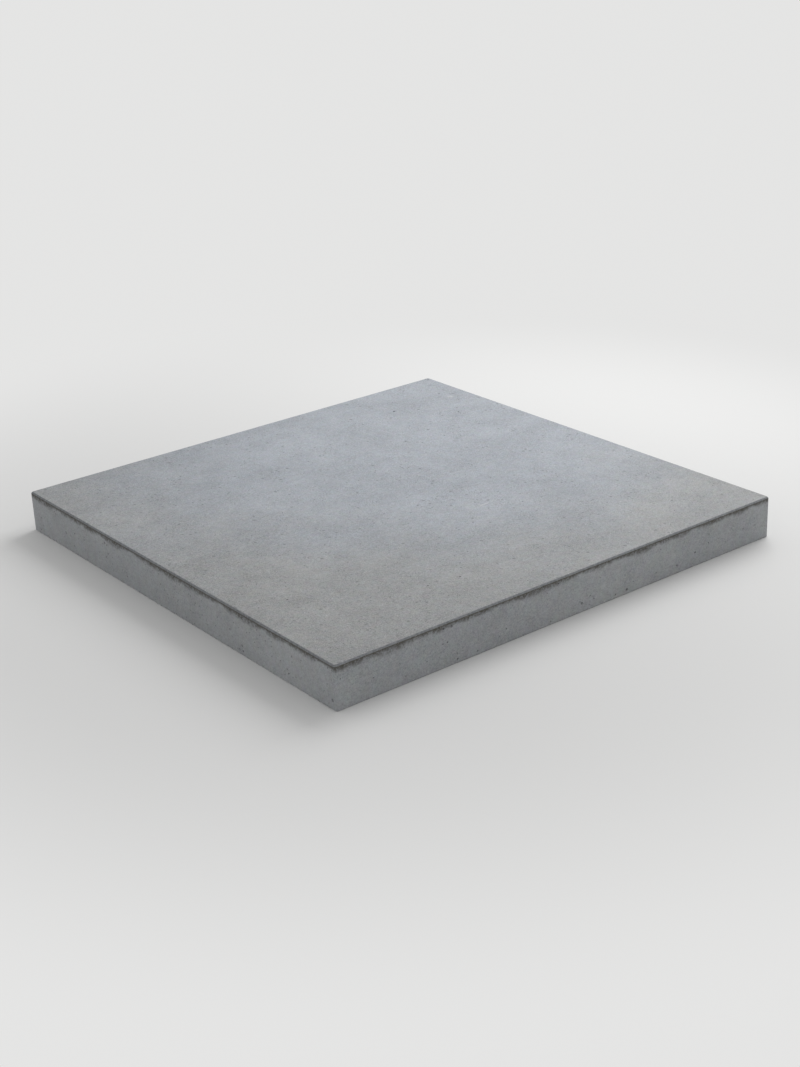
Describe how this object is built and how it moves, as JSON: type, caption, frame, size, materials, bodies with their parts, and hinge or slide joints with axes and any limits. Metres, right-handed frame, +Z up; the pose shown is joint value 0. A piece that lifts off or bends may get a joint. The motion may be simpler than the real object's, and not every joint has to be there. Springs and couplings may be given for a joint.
{
  "type": "concrete paving slab",
  "caption": "Large square concrete paving slab with upright sides and a narrow chamfer round the walking face.",
  "frame": {"origin": "centre of the underside, where the slab rests on its bed", "axes": "+X and +Y along the sides, +Z up out of the walking face"},
  "size_m": [0.994, 0.994, 0.08],
  "materials": {
    "concrete": "matte"
  },
  "bodies": {
    "root": {"slab": "concrete"}
  },
  "joints": []
}
